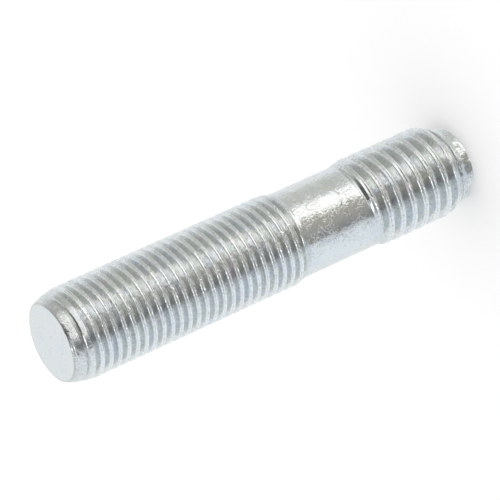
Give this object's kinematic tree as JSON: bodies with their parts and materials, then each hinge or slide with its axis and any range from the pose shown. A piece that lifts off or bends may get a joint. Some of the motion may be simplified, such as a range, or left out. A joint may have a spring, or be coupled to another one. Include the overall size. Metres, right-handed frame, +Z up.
{
  "type": "double-ended stud",
  "caption": "Headless steel stud with a long fine thread at one end, a plain shank and a short coarse thread at the other, for clamping a part to a casting with a nut.",
  "frame": {"origin": "centre of the square face of the tap end, which the stud stands on", "axes": "+Z runs up the stud's axis, from the coarse tap end to the fine nut end"},
  "size_m": [0.0118, 0.0118, 0.0592],
  "materials": {
    "zinc_plate": "bright clear zinc plate over rolled steel"
  },
  "bodies": {
    "root": {"stud": "zinc_plate"}
  },
  "joints": []
}
